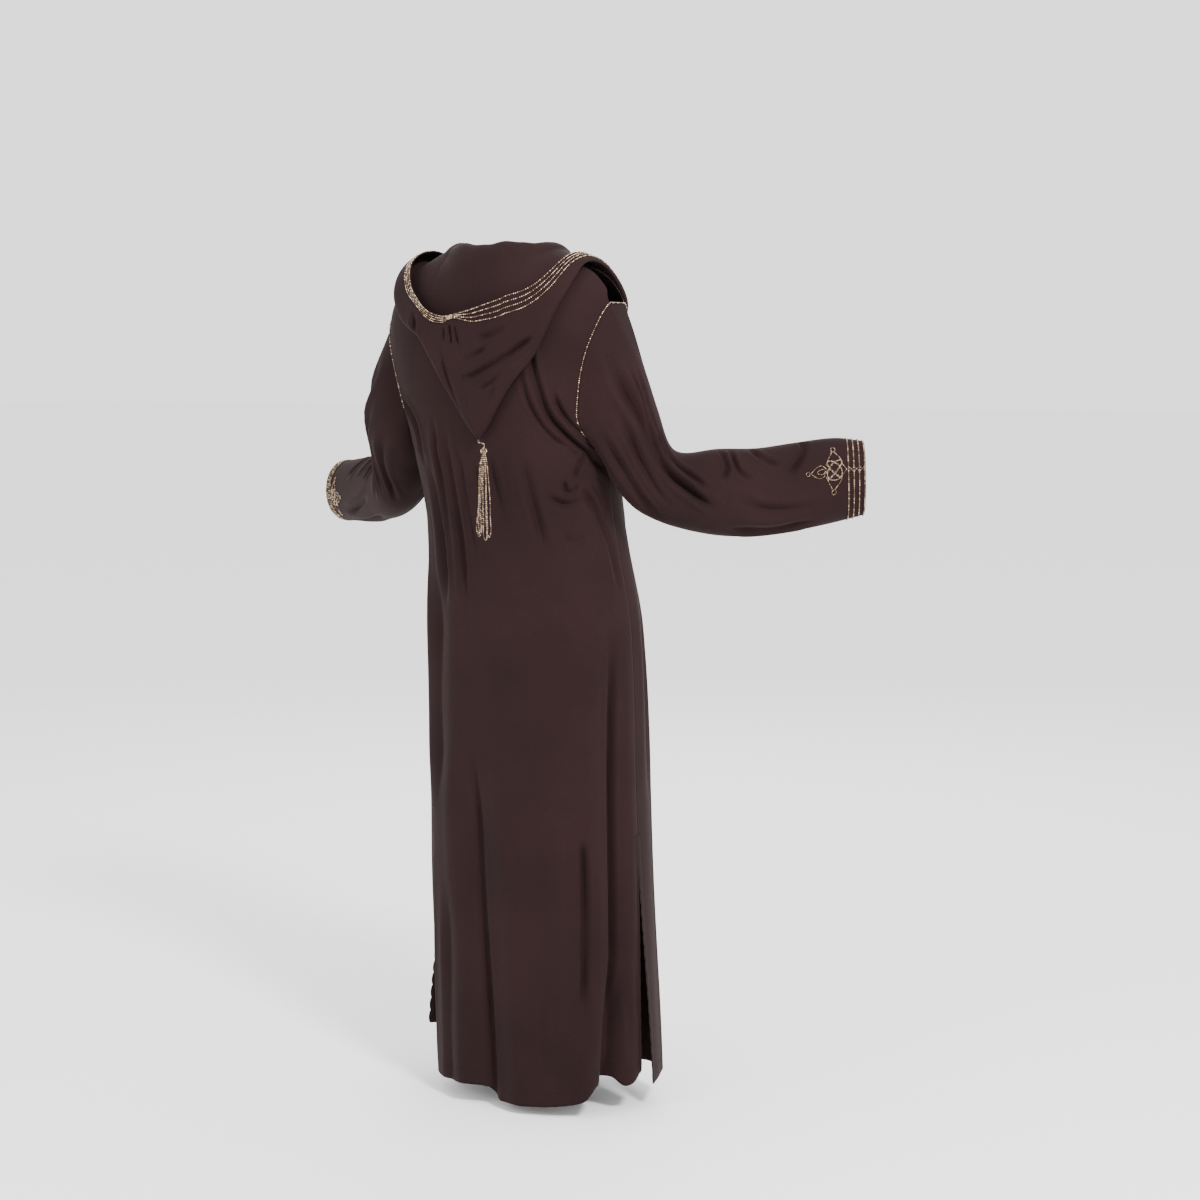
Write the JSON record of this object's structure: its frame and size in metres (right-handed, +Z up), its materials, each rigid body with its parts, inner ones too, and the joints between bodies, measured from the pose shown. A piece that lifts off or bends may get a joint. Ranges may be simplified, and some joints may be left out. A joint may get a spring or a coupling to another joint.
{
  "type": "hooded djellaba robe",
  "caption": "Long hooded robe as worn, with a pointed hood thrown back, set-in sleeves bent forward, slit sides, gold cord braid and a hood tassel.",
  "frame": {"origin": "middle of the neck opening, between the shoulders on which the robe hangs", "axes": "+Z up towards the neck, +Y out of the back, +X towards the robe's left as worn"},
  "size_m": [1.1112, 0.4175, 1.4022],
  "materials": {
    "aubergine_crepe": "matte",
    "gold_cord": "metallic thread"
  },
  "bodies": {
    "root": {"back_panel": "aubergine_crepe", "front_panel": "aubergine_crepe", "slit_edge_back_left": "aubergine_crepe", "slit_edge_back_right": "aubergine_crepe", "slit_edge_front_left": "aubergine_crepe", "slit_edge_front_right": "aubergine_crepe", "sleeve_left": "aubergine_crepe", "sleeve_right": "aubergine_crepe", "hood_left": "aubergine_crepe", "hood_right": "aubergine_crepe", "armhole_braid_left": "gold_cord", "armhole_braid_right": "gold_cord", "cuff_braid_left_1": "gold_cord", "cuff_braid_left_2": "gold_cord", "cuff_braid_left_3": "gold_cord", "cuff_braid_left_4": "gold_cord", "cuff_braid_right_1": "gold_cord", "cuff_braid_right_2": "gold_cord", "cuff_braid_right_3": "gold_cord", "cuff_braid_right_4": "gold_cord", "hood_braid_1": "gold_cord", "hood_braid_2": "gold_cord", "hood_braid_3": "gold_cord", "hood_braid_4": "gold_cord", "tassel_head": "gold_cord", "tassel_skirt": "gold_cord"}
  },
  "joints": []
}
